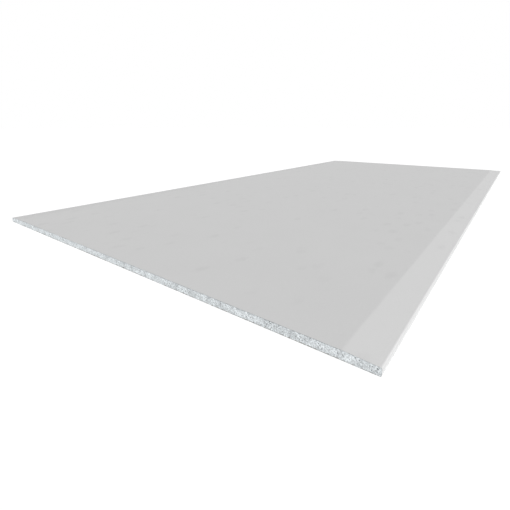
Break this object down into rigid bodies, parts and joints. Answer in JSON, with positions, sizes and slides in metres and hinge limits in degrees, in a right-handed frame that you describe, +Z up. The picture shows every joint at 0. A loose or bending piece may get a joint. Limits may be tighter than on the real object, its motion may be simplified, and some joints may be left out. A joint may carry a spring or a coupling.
{
  "type": "drywall sheet",
  "caption": "Flat rectangular drywall sheet: gypsum core between paper faces, long edges tapered and paper-wrapped, ends cut square, for lining walls and ceilings",
  "frame": {"origin": "middle of the back face, on the floor the sheet lies on", "axes": "+X across the sheet from one tapered long edge to the other, +Y along its length, +Z up out of the finished face"},
  "size_m": [1.22, 2.44, 0.0159],
  "materials": {
    "core": "matte, porous, pale bluish white set gypsum",
    "face": "matte smooth light grey paper",
    "back": "matte coarse grey recycled paper"
  },
  "bodies": {
    "root": {"gypsum_core": "core", "face_paper": "face", "back_paper": "back"}
  },
  "joints": []
}
